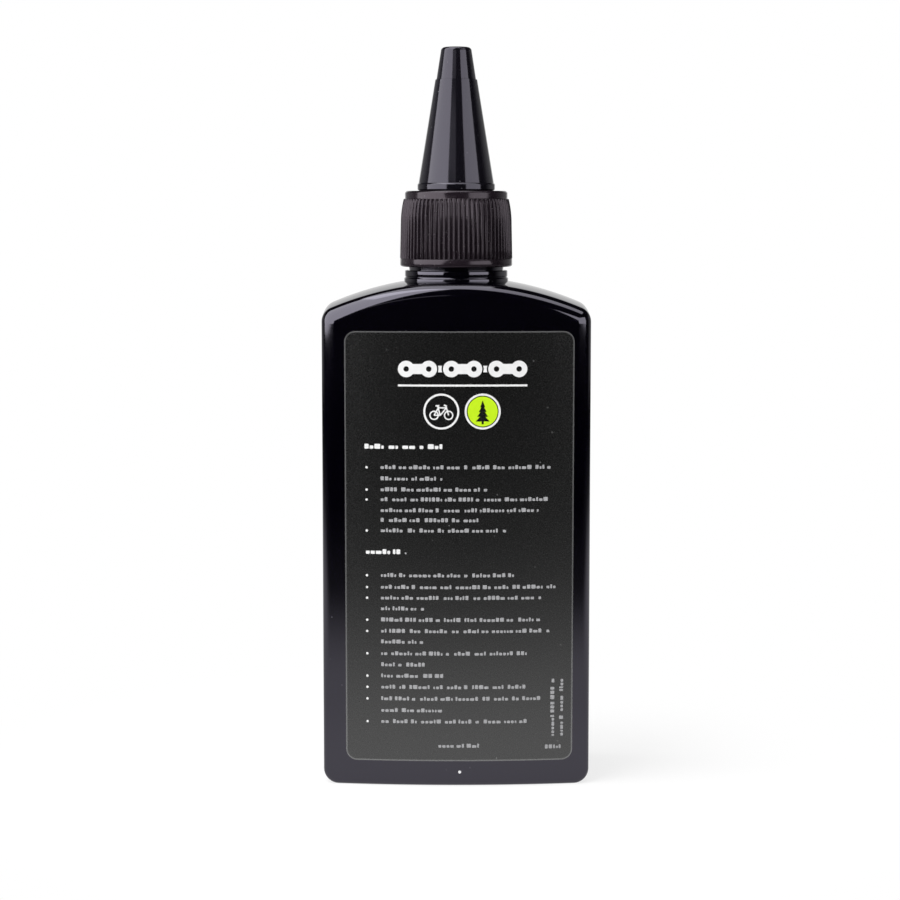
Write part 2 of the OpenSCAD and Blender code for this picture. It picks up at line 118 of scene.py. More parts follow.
class CollarSizes(bpy.types.PropertyGroup):
    """Sizes of the ribbed collar and its spout"""
    band: length("Band", "Radius of the plain band at the foot", 11.45)
    band_h: length("Band height", "Height of the plain band", 1.6)
    rim: length("Rim", "Radius of the rim on top", 10.45)
    rim_h: length("Rim height", "Height of that rim", 1.6)
    plate: length("Top", "Thickness of the collar's top", 1.5)
    liner_hole: length("Liner hole", "Radius of the hole in the liner under it", 6)
    ribs: bpy.props.IntProperty(name="Ribs", description="Number of grip ribs", default=70, min=12)
    groove: length("Groove", "Depth of the grooves at the foot", 0.55)
    lean: length("Lean", "How far the ribs lean in", 0.15)
    round_h: length("Round height", "Height over which the ribs round in", 5)
    round_in: length("Round in", "How far the ribs round in", 0.6)
    seat: length("Seat", "Radius of the seat that the cap grips", 6.1)
    seat_h: length("Seat height", "Height of that seat", 4)
    grip: length("Grip", "Rise of the seat's bead", 0.15)
    spout: length("Spout", "Radius of the spout's foot", 5.1)
    tip: length("Tip", "Radius of the spout's tip", 1.9)
    outlet: length("Outlet", "Radius of the outlet", 0.95)
    passage: length("Passage", "Radius of the passage at the foot", 4)


class CapSizes(bpy.types.PropertyGroup):
    """Sizes of the cone cap"""
    bead: length("Bead", "Radius of the bead round the foot", CAP_HIGH.x / MM)
    bead_h: length("Bead height", "Height of that bead", 1.6)
    foot: length("Foot", "Radius of the cone above the bead", 7.66)
    top: length("Top", "Radius of the cone below the step", 4.26)
    tip: length("Tip length", "Length of the tip above the step", 6.5)
    tip_foot: length("Tip foot", "Radius of the tip above the step", 4.02)
    tip_top: length("Tip top", "Radius of the tip at its top", 3.14)
    rounding: length("Rounding", "Radius of the rounded top edge", 0.8)
    wall: length("Wall", "Wall of the cap", 1.15)
    fit: length("Fit", "Clearance of the bore to the seat's bead", 0.05)
    pin: length("Pin", "Length of the stopper pin in the outlet", 2.4)
    pin_fit: length("Pin fit", "Clearance of the pin in the outlet", 0.1)


class LabelSizes(bpy.types.PropertyGroup):
    """Sizes of the label and its print"""
    corner: length("Corner", "Radius of the label's corners", 2.2)
    film: length("Film", "Thickness of the film", 0.15)
    gap: length("Gap", "Glue line under the film", 0.02)
    ink: length("Ink", "Thickness of the ink", 0.04)
    # The rim is the width of the painted highlight band along the film's edge
    rim: length("Rim", "Width of the clear edge of the film", 0.35)
    block: length("Block", "Mean length of a block of the small print", 0.62)
    between: length("Between", "Space between two blocks of a word", 0.2)
    block_r: length("Block corner", "Radius of a block's corners", 0.13)
    low: share("Low", "Height of a low block, as a share of a tall one's", 0.66)
    low_share: share("Low share", "Share of the blocks that are low", 0.6)
    bullet: share("Bullet", "Size of a bullet, as a share of the solid one's", 0.74)
    seed: bpy.props.IntProperty(name="Seed", description="Seed of the print's blocks", default=7)


class Finishes(bpy.types.PropertyGroup):
    """Colours and gloss of the materials"""
    bottle: colour("Bottle", "Colour of the blown plastic", (0.0005, 0.0003, 0.0014))
    bottle_dust: colour("Bottle dust", "Colour of the dust on it", (0.06, 0.057, 0.066))
    fleck: colour("Fleck", "Colour of the fleck near its foot", (0.75, 0.75, 0.75))
    bottle_gloss: share("Bottle roughness", "Roughness of the blown plastic", 0.07)
    sheen: colour("Sheen", "Tint of the bottle's and the cap's reflections", (0.87, 0.83, 1.0))
    collar: colour("Collar", "Colour of the collar", (0.0095, 0.0066, 0.0092))
    collar_dust: colour("Collar dust", "Colour of the dust on it", (0.07, 0.063, 0.068))
    collar_sheen: colour("Collar sheen", "Tint of the collar's reflections", (1.0, 0.88, 0.99))
    collar_gloss: share("Collar roughness", "Roughness of the collar", 0.17)
    cap: colour("Cap", "Colour of the cone cap", (0.0045, 0.004, 0.0062))
    cap_dust: colour("Cap dust", "Colour of the dust on it", (0.08, 0.08, 0.09))
    cap_gloss: share("Cap roughness", "Roughness of the cone cap", 0.1)
    film: colour("Film", "Colour of the label film", (0.0028, 0.0028, 0.0028))
    film_speck: colour("Film specks", "Colour of the specks in it", (0.009, 0.009, 0.009))
    film_dust: colour("Film dust", "Colour of the dust on it", (0.1, 0.1, 0.1))
    # Painted highlight: the paler colour of the band along the film's cut edge
    film_edge_highlight: colour("Film edge", "Colour of its cut edge", (0.085, 0.085, 0.086))
    film_gloss: share("Film roughness", "Roughness of the label film", 0.27)
    white: colour("White ink", "Colour of the white print", (0.7, 0.7, 0.7))
    small: colour("Small print", "Colour of the small print", (0.31, 0.31, 0.32))
    green: colour("Green ink", "Colour of the green print", (0.46, 0.71, 0.003))
    foam: colour("Foam", "Colour of the liner", (0.78, 0.77, 0.73))


class StageSizes(bpy.types.PropertyGroup):
    """Camera and light of the stage"""
    lens: bpy.props.FloatProperty(name="Lens", description="Focal length in mm", default=86.8)
    camera_x: length("Camera x", "Camera's place to the side", -1.27)
    camera_y: length("Camera y", "Camera's place in front", -445.6)
    camera_z: length("Camera z", "Camera's height", 116.9)
    tilt: bpy.props.FloatProperty(name="Tilt", description="How far the camera looks down",
                                  default=math.radians(6.37), subtype="ANGLE")
    table_front: length("Table front", "Reach of the table in front", 900)
    table_back: length("Table back", "Reach of the table behind", 900)
    table_half: length("Table half", "Half width of the table", 900)


GROUPS = {
    "lube_body": BodySizes, "lube_neck": NeckSizes, "lube_collar": CollarSizes,
    "lube_cap": CapSizes, "lube_label": LabelSizes, "lube_finish": Finishes,
    "lube_stage": StageSizes,
}


# Shader values and materials

class Value:
    """A socket that Python's operators add Math nodes to."""

    def __init__(self, finish, socket):
        self.finish = finish
        self.socket = socket

    def _math(self, operation, a, b=0.0):
        return self.finish.node("ShaderNodeMath", {"operation": operation}, {0: a, 1: b})

    def __add__(self, other):
        return self._math("ADD", self, other)

    def __sub__(self, other):
        return self._math("SUBTRACT", self, other)

    def __rsub__(self, other):
        return self._math("SUBTRACT", other, self)

    def __mul__(self, other):
        return self._math("MULTIPLY", self, other)

    __radd__, __rmul__ = __add__, __mul__

    def __lt__(self, other):
        return self._math("LESS_THAN", self, other)

    def __abs__(self):
        return self._math("ABSOLUTE", self)

    def lowest(self, other):
        return self._math("MINIMUM", self, other)

    def highest(self, other):
        return self._math("MAXIMUM", self, other)

    def root(self):
        return self._math("SQRT", self)

    def between(self, low, high):
        """0 at low, 1 at high, smooth in between."""
        return self.finish.node("ShaderNodeMapRange", {"interpolation_type": "SMOOTHSTEP"},
                                {"Value": self, "From Min": low, "From Max": high})

    def beside(self, out):
        """Another output of the same node."""
        return Value(self.finish, self.socket.node.outputs[out])


class Finish:
    """One node tree, with a method that adds any node to it."""

    def __init__(self, owner):
        owner.use_nodes = True
        self.owner = owner
        self.tree = owner.node_tree
        self.tree.nodes.clear()

    def node(self, kind, settings=None, inputs=None, out=0):
        """Adds a node with these settings and inputs, and returns one of its outputs."""
        made = self.tree.nodes.new(kind)
        for key, value in (settings or {}).items():
            setattr(made, key, value)
        for key, value in (inputs or {}).items():
            socket = made.inputs[key]
            if isinstance(value, Value):
                self.tree.links.new(value.socket, socket)
            else:
                socket.default_value = value
        return Value(self, made.outputs[out]) if made.outputs else None

    def place(self, kind="Object"):
        """Coordinates of that kind."""
        return self.node("ShaderNodeTexCoord", out=kind)

    def axes(self, kind="Object"):
        """The three coordinates of that kind, one by one."""
        first = self.node("ShaderNodeSeparateXYZ", {}, {0: self.place(kind)})
        return first, first.beside(1), first.beside(2)

    def rays(self, *kinds):
        """1 for a ray of any of these kinds, 0 for the rest."""
        path = found = self.node("ShaderNodeLightPath", out=kinds[0])
        for kind in kinds[1:]:
            found = found.highest(path.beside(kind))
        return found

    def noise(self, size, detail=2.0, stretch=(1, 1, 1), roughness=0.5):
        """Noise from 0 to 1 whose blobs are about size metres across."""
        at = self.node("ShaderNodeMapping", {}, {"Vector": self.place(), "Scale": stretch})
        return self.node("ShaderNodeTexNoise", {"noise_dimensions": "3D"},
                         {"Vector": at, "Scale": 0.5 / size, "Detail": detail,
                          "Roughness": roughness})

    def grains(self, size, chance):
        """Sparse specks of about size metres, at that share of the places they could take."""
        near = self.node("ShaderNodeTexVoronoi", {},
                         {"Vector": self.place(), "Scale": 1 / (size * 4)}, "Distance")
        tone = self.node("ShaderNodeSeparateColor", {}, {0: near.beside("Color")})
        return (1 - near.between(0.1, 0.45)) * (tone < chance)

    def mixed(self, share_of, a, b):
        """Colour a where share_of is 0 and b where it is 1."""
        return self.node("ShaderNodeMix", {"data_type": "RGBA"}, {0: share_of, 6: a, 7: b}, 2)

    def bump(self, height, distance):
        return self.node("ShaderNodeBump", {},
                         {"Height": height, "Distance": distance, "Strength": 1.0})

    def surface(self, shader, kind="ShaderNodeOutputMaterial"):
        self.node(kind, {}, {"Surface": shader})


def rgba(c, k=1.0):
    return (c[0] * k, c[1] * k, c[2] * k, 1.0)


def principled(finish, base, rough, bump, ior, tint=None):
    """Ends a material in one Principled shader; base, rough and bump may be shader values."""
    inputs = {"Base Color": base, "Roughness": rough, "IOR": ior, "Normal": bump}
    if tint is not None:
        inputs["Specular Tint"] = rgba(tint)
    finish.surface(finish.node("ShaderNodeBsdfPrincipled", {}, inputs))
    return finish.owner


def blown_plastic(c):
    """Glossy black blown plastic: slow waves of the mould, fine scuffs and the parting line."""
    f = Finish(bpy.data.materials.new("blown_plastic"))
    x, y, z = f.axes()
    waves = f.noise(11 * MM, 1.0, (1, 1, 0.6))
    skin = f.noise(0.7 * MM, 2.0)
    scuffs = f.noise(6 * MM, 4.0, (1, 1, 0.25), 0.65).between(0.56, 0.8)
    seam = 1 - abs(y).between(0.02 * MM, 0.16 * MM)
    height = waves * 0.9 + skin * 0.012 + seam * 0.35
    dust = f.grains(0.1 * MM, 0.0012)
    base = f.mixed(dust, rgba(c.bottle), rgba(c.bottle_dust))
    # One white fleck near the foot of the labelled face
    fleck_x, fleck_z, fleck_r = 0.7 * MM, 2.9 * MM, 0.3 * MM
    across, up = x - fleck_x, z - fleck_z
    fleck = (across * across + up * up < fleck_r ** 2) * (y < 0.0)
    base = f.mixed(fleck, base, rgba(c.fleck))
    rough = c.bottle_gloss + scuffs * 0.035 + dust * 0.3
    return principled(f, base, rough, f.bump(height, 0.03 * MM), 1.74, c.sheen)


def moulded_satin(c, low, high):
    """Satin black moulding: fine spark texture, grey dust, and duller ribs from low to high."""
    f = Finish(bpy.data.materials.new("moulded_satin"))
    grain = f.noise(0.22 * MM, 3.0)
    cloud = f.noise(5 * MM, 3.0)
    dust = f.grains(0.1 * MM, 0.03)
    base = f.mixed(cloud, rgba(c.collar, 0.75), rgba(c.collar, 1.3))
    base = f.mixed(dust, base, rgba(c.collar_dust))
    z, soft = f.axes()[2], 0.1 * MM
    ribbed = z.between(low - soft, low + soft) * (1 - z.between(high - soft, high + soft))
    rough = c.collar_gloss - 0.05 + cloud * 0.1 + dust * 0.2 + ribbed * 0.07
    return principled(f, base, rough, f.bump(grain, 0.004 * MM), 1.43, c.collar_sheen)


def moulded_gloss(c):
    """Glossy black moulding: faint drawn flow lines along the cone."""
    f = Finish(bpy.data.materials.new("moulded_gloss"))
    flow = f.noise(0.9 * MM, 3.0, (1, 1, 0.04))
    rubs = f.noise(4 * MM, 4.0, (1, 1, 0.4), 0.6).between(0.55, 0.8)
    dust = f.grains(0.09 * MM, 0.005)
    base = f.mixed(dust, rgba(c.cap), rgba(c.cap_dust))
    rough = c.cap_gloss + rubs * 0.05 + dust * 0.2
    return principled(f, base, rough, f.bump(flow, 0.006 * MM), 1.55, c.sheen)


def label_film(c, t):
    """Charcoal film: fine tooth, grey specks and a painted highlight, a paler line along its cut
    edge.
    """
    f = Finish(bpy.data.materials.new("label_film"))
    x, _, z = f.axes()
    middle, half = (LABEL_LOW + LABEL_HIGH) / 2, (LABEL_HIGH - LABEL_LOW) / 2
    # The reach from the corners' centres is the corner radius on the outline, and less inside
    dx = (abs(x - middle.x) - (half.x - t.corner)).highest(0.0)
    dz = (abs(z - middle.z) - (half.z - t.corner)).highest(0.0)
    reach = (dx * dx + dz * dz).root()
    # Painted highlight: a paler, glossier band just inside the film's outline
    edge = reach.between(t.corner - t.rim, t.corner - t.rim * 0.55)
    tooth = f.noise(0.3 * MM, 4.0, roughness=0.7)
    cloud = f.noise(9 * MM, 3.0)
    specks = f.grains(0.07 * MM, 0.06)
    dust = f.grains(0.12 * MM, 0.0012)
    base = f.mixed(cloud, rgba(c.film, 0.85), rgba(c.film, 1.2))
    base = f.mixed(specks, base, rgba(c.film_speck))
    base = f.mixed(dust, base, rgba(c.film_dust))
    base = f.mixed(edge, base, rgba(c.film_edge_highlight))
    rough = c.film_gloss - 0.04 + tooth * 0.08 - edge * 0.12
    return principled(f, base, rough, f.bump(tooth, 0.007 * MM), 1.88)


def ink(name, c):
    """Screen-printed ink: slightly uneven cover."""
    f = Finish(bpy.data.materials.new(name))
    cover = f.noise(0.5 * MM, 3.0)
    base = f.mixed(cover, rgba(c, 0.9), rgba(c, 1.0))
    return principled(f, base, 0.42 + cover * 0.08, f.bump(cover, 0.004 * MM), 1.36)


def foam(c):
    """Pressed foam of the liner: closed cells."""
    f = Finish(bpy.data.materials.new("liner_foam"))
    cells = f.noise(0.35 * MM, 2.0)
    base = f.mixed(cells, rgba(c, 0.82), rgba(c))
    return principled(f, base, 0.75 + cells * 0.1, f.bump(cells, 0.05 * MM), 1.45)


# Mesh helpers

# Slope of the threads' flanks, and the steps in one turn of a thread
THREAD_FLANK, THREAD_STEPS = math.radians(30), 72
# Steps round the neck, its bore and the cap
ROUND_STEPS = 144
# Distance within which two places count as one
TINY = 1e-7


def linked(name, data):
    """A new object in the scene, at the origin."""
    obj = bpy.data.objects.new(name, data)
    bpy.context.scene.collection.objects.link(obj)
    return obj


def built(name, bm):
    """A new object made of a bmesh."""
    mesh = bpy.data.meshes.new(name)
    bm.to_mesh(mesh)
    bm.free()
    return linked(name, mesh)


def bevel(bm, geom, width, segments, affect):
    """Rounds edges or corners by that width."""
    bmesh.ops.bevel(bm, geom=geom, offset=width, offset_type="OFFSET", segments=segments,
                    profile=0.5, affect=affect, material=-1, clamp_overlap=True)


def push(bm, vert, by):
    """Extrudes one vertex along a vector and returns the new end."""
    made = bmesh.ops.extrude_vert_indiv(bm, verts=[vert])["verts"][0]
    bmesh.ops.translate(bm, verts=[made], vec=by)
    return made


def swing(bm, vert, centre, axis, angle, steps):
    """Extrudes one vertex round an axis and returns the new end."""
    last = bmesh.ops.spin(bm, geom=[vert], cent=centre, axis=axis, angle=angle, steps=steps,
                          dvec=(0, 0, 0), use_duplicate=False)["geom_last"]
    return [g for g in last if isinstance(g, bmesh.types.BMVert)][0]


def turned(bm, profile, steps):
    """A closed profile of (radius, height) corners, spun once round Z."""
    verts = [bm.verts.new((r, 0, z)) for r, z in profile]
    edges = [bm.edges.new((a, b)) for a, b in zip(verts, verts[1:] + verts[:1])
             if a.co.x > TINY or b.co.x > TINY]
    bmesh.ops.spin(bm, geom=verts + edges, cent=(0, 0, 0), axis=(0, 0, 1), angle=2 * math.pi,
                   steps=steps, dvec=(0, 0, 0), use_merge=True, use_duplicate=False)
    bmesh.ops.remove_doubles(bm, verts=bm.verts, dist=TINY)
    bmesh.ops.recalc_face_normals(bm, faces=bm.faces)


def rounded_rings(bm, width, least=math.radians(24), where=None, segments=3):
    """Bevels the ring edges of a turned piece that turn by more than the least angle."""
    rings = [e for e in bm.edges if len(e.link_faces) == 2
             and abs(e.verts[0].co.z - e.verts[1].co.z) < TINY
             and e.calc_face_angle(0.0) > least and (where is None or where(e))]
    bevel(bm, rings, width, segments, "EDGES")


def thread(bm, n, foot, crest, low):
    """A screw thread: a trapezoid swept up a right-hand helix, fading into the wall at its ends."""
    flank = abs(crest - foot) * math.tan(THREAD_FLANK)
    half = n.crest / 2
    corners = [(foot, -half - flank), (crest, -half), (crest, half), (foot, half + flank)]
    verts = [bm.verts.new((r, 0, low + z)) for r, z in corners]
    face = bm.faces.new(verts)
    steps = round(THREAD_STEPS * n.turns)
    bmesh.ops.spin(bm, geom=[face] + list(face.edges) + verts, cent=(0, 0, 0), axis=(0, 0, 1),
                   angle=2 * math.pi * n.turns, steps=steps,
                   dvec=(0, 0, n.pitch * n.turns / steps), use_duplicate=False)
    bmesh.ops.recalc_face_normals(bm, faces=bm.faces)
    # Each crest point sinks towards the wall near the ends of the helix
    fade = math.radians(36)
    for v in bm.verts:
        r = math.hypot(v.co.x, v.co.y)
        if abs(r - crest) > 1e-6:
            continue
        turn = max(0.0, min(n.turns, (v.co.z - low) / n.pitch)) * 2 * math.pi
        rise = 0.15 + 0.85 * min(1.0, turn / fade, (2 * math.pi * n.turns - turn) / fade)
        new = foot + (crest - foot) * rise
        v.co.x *= new / r
        v.co.y *= new / r


def slice_at(bm, faces, axis, places):
    """Cuts these faces by planes across an axis at those places and returns what they become."""
    normal = Vector((axis == "x", axis == "y", axis == "z"))
    faces = list(faces)
    for p in places:
        edges = {e for f in faces for e in f.edges}
        verts = {v for f in faces for v in f.verts}
        cut = bmesh.ops.bisect_plane(bm, geom=faces + list(edges) + list(verts),
                                     plane_co=normal * p, plane_no=normal, dist=1e-6)
        faces = [g for g in cut["geom"] if isinstance(g, bmesh.types.BMFace)]
    return faces


def spaced(low, high, step):
    """Evenly spaced places strictly between low and high, about a step apart."""
    n = max(1, round((high - low) / step))
    return [low + (high - low) * i / n for i in range(1, n)]


def piece(name, bm, material, body, stands_for=(), sharp=32):
    """Makes an object of a bmesh and seats it."""
    seated(built(name, bm), material, body, stands_for, sharp)


def seated(obj, material, body, stands_for=(), sharp=32):
    """Shades an object smooth but for edges over the sharp angle, and seats it on its body."""
    mesh = obj.data
    bm = bmesh.new()
    bm.from_mesh(mesh)
    for f in bm.faces:
        f.smooth = True
        f.material_index = 0
    for e in bm.edges:
        e.smooth = len(e.link_faces) == 2 and e.calc_face_angle(0.0) < math.radians(sharp)
    bm.to_mesh(mesh)
    bm.free()
    mesh.materials.clear()
    mesh.materials.append(material)
    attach(obj, body)
    if stands_for:
        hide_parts(*stands_for)


def joined(obj, steps):
    """Applies Solidify and Boolean modifiers in turn: ("wall", thickness) or (operation, tool)."""
    for kind, value in steps:
        if kind == "wall":
            shell = obj.modifiers.new("wall", "SOLIDIFY")
            shell.thickness = value
            shell.offset = -1.0
            shell.use_even_offset = True
        else:
            cut = obj.modifiers.new(kind.lower(), "BOOLEAN")
            cut.operation = kind
            cut.solver = "EXACT"
            cut.object = value
    bpy.context.view_layer.update()
    depsgraph = bpy.context.evaluated_depsgraph_get()
    mesh = bpy.data.meshes.new_from_object(obj.evaluated_get(depsgraph))
    mesh.name = obj.name
    made = linked(obj.name + "_made", mesh)
    name = obj.name
    for kind, value in steps:
        if kind != "wall":
            bpy.data.objects.remove(value)
    bpy.data.objects.remove(obj)
    made.name = name
    return made


# The bottle

# Steps of the front outline: along half the arch, round a corner and up a side
ARCH_STEPS, CORNER_STEPS, SIDE_STEPS = 20, 9, 11
# Steps of the depth: round an edge, and from one edge to the other
EDGE_STEPS, DEPTH_STEPS = 12, 22


def arch_centre(s):
    """Height of the shoulder arch's centre."""
    reach = s.width / 2 - s.corner
    return s.side - math.sqrt((s.arch - s.corner) ** 2 - reach ** 2)


def face_bow(s, x):
    """How far a large face lies behind its middle at x."""
    return s.bow - math.sqrt(s.bow ** 2 - x ** 2)


def smooth(t):
    t = max(0.0, min(1.0, t))
    return t * t * (3 - 2 * t)


def inside_rounded(x, y, half_x, half_y, corner):
    """Distance inside a rounded rectangle."""
    dx, dy = abs(x) - half_x + corner, abs(y) - half_y + corner
    return corner - math.hypot(max(dx, 0), max(dy, 0)) - min(max(dx, dy), 0)


def outward(s, x, z):
    """Direction out of the front outline at one of its points."""
    reach, side = s.width / 2 - s.corner, math.copysign(1, x)
    lean = math.asin(reach / (s.arch - s.corner))
    if z < TINY:
        return 0, -1
    if s.corner - TINY <= z <= s.side + TINY:
        return side, 0
    if z < s.corner:
        centre = (side * reach, s.corner)
    elif abs(x) > reach + s.corner * math.sin(lean) - TINY:
        centre = (side * reach, s.side)
    else:
        centre = (0, arch_centre(s))
    away = Vector((x - centre[0], z - centre[1])).normalized()
    return away.x, away.y


def edge_radius(s, z):
    """Radius of the edges round the large faces, which grows from the base to the shoulder."""
    up = max(0, min(1, (z - s.corner) / (s.side - s.corner)))
    return s.foot_edge + (s.edge - s.foot_edge) * up


def body_loops():
    """Draw-in, flat share and round share of each loop of the body, front to back."""
    bend = [math.pi / 2 * i / EDGE_STEPS for i in range(EDGE_STEPS + 1)]
    front = [(1 - math.sin(a), -1, -math.cos(a)) for a in bend]
    middle = [(0, 2 * i / DEPTH_STEPS - 1, 0) for i in range(1, DEPTH_STEPS)]
    return front + middle + [(d, -flat, -turn) for d, flat, turn in reversed(front)]


def body_shell(s):
    """The outer skin of the blown body."""
    bm = bmesh.new()
    turn = (0, -1, 0)
    reach = s.width / 2 - s.corner
    lean = math.asin(reach / (s.arch - s.corner))
    v = bm.verts.new((0, 0, 0))
    flat_arch = s.arch - s.edge - s.rim
    columns = [flat_arch * math.sin(lean * i / ARCH_STEPS) for i in range(ARCH_STEPS)]
    for here, there in zip(columns, columns[1:] + [reach]):
        v = push(bm, v, (there - here, 0, 0))
    v = swing(bm, v, (reach, 0, s.corner), turn, math.pi / 2, CORNER_STEPS)
    for _ in range(SIDE_STEPS):
        v = push(bm, v, (0, 0, (s.side - s.corner) / SIDE_STEPS))
    v = swing(bm, v, (reach, 0, s.side), turn, math.pi / 2 - lean, CORNER_STEPS)
    swing(bm, v, (0, 0, arch_centre(s)), turn, lean, ARCH_STEPS)
    bmesh.ops.mirror(bm, geom=bm.verts[:] + bm.edges[:], matrix=Matrix.Identity(4),
                     merge_dist=1e-6, axis="X")
    # Each loop is the outline drawn in by the edge round, extruded from the one before
    home = {v: (v.co.copy(), outward(s, v.co.x, v.co.z)) for v in bm.verts}
    ring = bm.edges[:]
    loops = body_loops()
    rows = [list(home)]
    for _ in loops[1:]:
        made = bmesh.ops.extrude_edge_only(bm, edges=ring)["geom"]
        ring = [g for g in made if isinstance(g, bmesh.types.BMEdge)
                and all(v not in home for v in g.verts)]
        row = [g for g in made if isinstance(g, bmesh.types.BMVert)]
        home.update([(v, next(home[e.other_vert(v)] for e in v.link_edges
                              if e.other_vert(v) in home)) for v in row])
        rows.append(row)
    for row, (draw, flat, bend) in zip(rows, loops):
        for v in row:
            at, (out_x, out_z) = home[v]
            r = edge_radius(s, at.z)
            v.co = (at.x - out_x * draw * r, flat * (s.depth / 2 - r) + bend * r,
                    at.z - out_z * draw * r)
    bmesh.ops.holes_fill(bm, edges=bm.edges[:], sides=0)
    bmesh.ops.recalc_face_normals(bm, faces=bm.faces)
    faces = sorted(bm.faces, key=lambda f: len(f.verts))[-2:]
    bmesh.ops.inset_region(bm, faces=faces, thickness=s.rim, use_even_offset=True)
    faces = sorted(bm.faces, key=lambda f: len(f.verts))[-2:]
    # Cuts that let the faces bow, from the points of the base to those of the arch
    faces = slice_at(bm, faces, "x", [-x for x in columns[:0:-1]] + columns)
    slice_at(bm, faces, "z", spaced(s.edge, s.side, 9 * MM))
    half_x = reach - s.foot
    half_y = (s.depth / 2 - s.foot_edge) * (1 - face_bow(s, half_x) / (s.depth / 2)) - s.foot
    # The hollow of the base starts a little outside the ring's inner edge and ends further in
    over, hollow_corner, hollow_run = 0.7 * MM, 4.7 * MM, 2.6 * MM
    # The shoulder's fall sets in below its corners and is whole a little above them
    fall_low, fall_run = s.side - 14 * MM, 16 * MM
    for v in bm.verts:
        x, y, z = v.co
        if z < 1e-6:
            inside = inside_rounded(x, y, half_x + over, half_y + over, hollow_corner)
            z = s.push_up * smooth(inside / hollow_run)
        z -= s.drop * (y / (s.depth / 2)) ** 2 * smooth((z - fall_low) / fall_run)
        y *= 1 - face_bow(s, x) / (s.depth / 2)
        v.co = (x, y, z)
    bmesh.ops.recalc_face_normals(bm, faces=bm.faces)
    return bm


def neck_solid(s, n):
    """The neck with its bead, ring and bore."""
    crown, top = arch_centre(s) + s.arch, BOTTLE_HIGH.z
    bead_top = COLLAR_LOW.z - n.bead_gap
    bead_low = bead_top - n.bead_h
    ring_top = bead_low - n.ring_gap
    foot, nick, chamfer = crown - s.wall * 0.6, 0.12 * MM, 0.14 * MM
    bm = bmesh.new()
    turned(bm, [
        (n.bore, foot), (n.root - 0.4 * MM, foot - 0.9 * MM), (n.root, crown - 1.6 * MM),
        (n.ring + 0.5 * MM, ring_top - 1.0 * MM), (n.ring + 0.06 * MM, ring_top - 0.85 * MM),
        (n.ring, ring_top - 0.75 * MM), (n.ring, ring_top - nick), (n.ring - nick, ring_top),
        (n.bead - nick, bead_low), (n.bead, bead_low + nick), (n.bead, bead_top - chamfer),
        (n.bead - chamfer, bead_top), (n.undercut - 0.25 * MM, bead_top),
        (n.undercut, COLLAR_LOW.z + 0.9 * MM), (n.wall, COLLAR_LOW.z + 1.5 * MM),
        (n.wall, top - 0.3 * MM), (n.wall - 0.3 * MM, top), (n.bore, top),
    ], ROUND_STEPS)
    rounded_rings(bm, 0.16 * MM, where=lambda e: math.hypot(*e.verts[0].co.xy) > n.bore + 0.1 * MM)
    return bm


class LUBE_OT_bottle(bpy.types.Operator):
    """Blow the oblong bottle with its screw neck"""
    bl_idname = "lube.add_bottle"
    bl_label = "Bottle"

    def execute(self, context):
        s, n = context.scene.lube_body, context.scene.lube_neck
        top, over, depth = BOTTLE_HIGH.z, 2 * MM, 24 * MM
        shell = built("bottle_skin", body_shell(s))
        bore = bmesh.new()
        bmesh.ops.create_cone(bore, cap_ends=True, segments=ROUND_STEPS, radius1=n.bore,
                              radius2=n.bore, depth=depth,
                              matrix=Matrix.Translation((0, 0, top + over - depth / 2)))
        screw = bmesh.new()
        thread(screw, n, n.wall - n.embed, n.wall + n.thread, top - n.start - n.turns * n.pitch)
        made = joined(shell, [("wall", s.wall), ("UNION", built("neck", neck_solid(s, n))),
                              ("DIFFERENCE", built("bore", bore)),
                              ("UNION", built("screw", screw))])
        seated(made, blown_plastic(context.scene.lube_finish), "bottle_body",
               ["bottle"])
        return {"FINISHED"}


# The label

def sheet(bm, x, z, width, height):
    """A flat upright rectangle round a point of the XZ plane."""
    bmesh.ops.create_grid(bm, x_segments=1, y_segments=1, size=0.5, matrix=Matrix.LocRotScale(
        Vector((x, 0, z)), None, Vector((width, 1, height))) @ Matrix.Rotation(math.pi / 2, 4, "X"))


def thicken(bm, by):
    """Extrudes flat upright work towards -Y."""
    made = bmesh.ops.extrude_face_region(bm, geom=bm.faces[:])["geom"]
    bmesh.ops.translate(bm, verts=[g for g in made if isinstance(g, bmesh.types.BMVert)],
                        vec=(0, -by, 0))
    bmesh.ops.recalc_face_normals(bm, faces=bm.faces)


def wrap(bm, s, gap):
    """Lays flat work, drawn in the XZ plane with -Y outwards, on the front face."""
    for v in bm.verts:
        v.co.y += -s.depth / 2 - gap + face_bow(s, v.co.x)


class LUBE_OT_label(bpy.types.Operator):
    """Stick the film on the front face"""
    bl_idname = "lube.add_label"
    bl_label = "Back label"

    def execute(self, context):
        s, t = context.scene.lube_body, context.scene.lube_label
        middle, size = (LABEL_LOW + LABEL_HIGH) / 2, LABEL_HIGH - LABEL_LOW
        bm = bmesh.new()
        sheet(bm, middle.x, middle.z, size.x, size.z)
        bevel(bm, bm.verts[:], t.corner, 8, "VERTICES")
        bmesh.ops.inset_region(bm, faces=bm.faces[:], thickness=0.12 * MM, use_even_offset=True)
        low_x, high_x = LABEL_LOW.x + t.corner, LABEL_HIGH.x - t.corner
        slice_at(bm, bm.faces[:], "x", spaced(low_x, high_x, 1.3 * MM))
        slice_at(bm, bm.faces[:], "z", spaced(LABEL_LOW.z, LABEL_HIGH.z, 6 * MM))
        thicken(bm, t.film)
        wrap(bm, s, t.gap)
        piece("back_label_film", bm, label_film(context.scene.lube_finish, t), "bottle_body",
              ["back_label"], 40)
        return {"FINISHED"}


def islands(bm):
    """The separate bodies of a mesh, each as a list of faces."""
    left, found = set(bm.faces), []
    while left:
        ahead, group = [left.pop()], []
        while ahead:
            face = ahead.pop()
            group.append(face)
            for e in face.edges:
                for other in e.link_faces:
                    if other in left:
                        left.remove(other)
                        ahead.append(other)
        found.append(group)
    return found


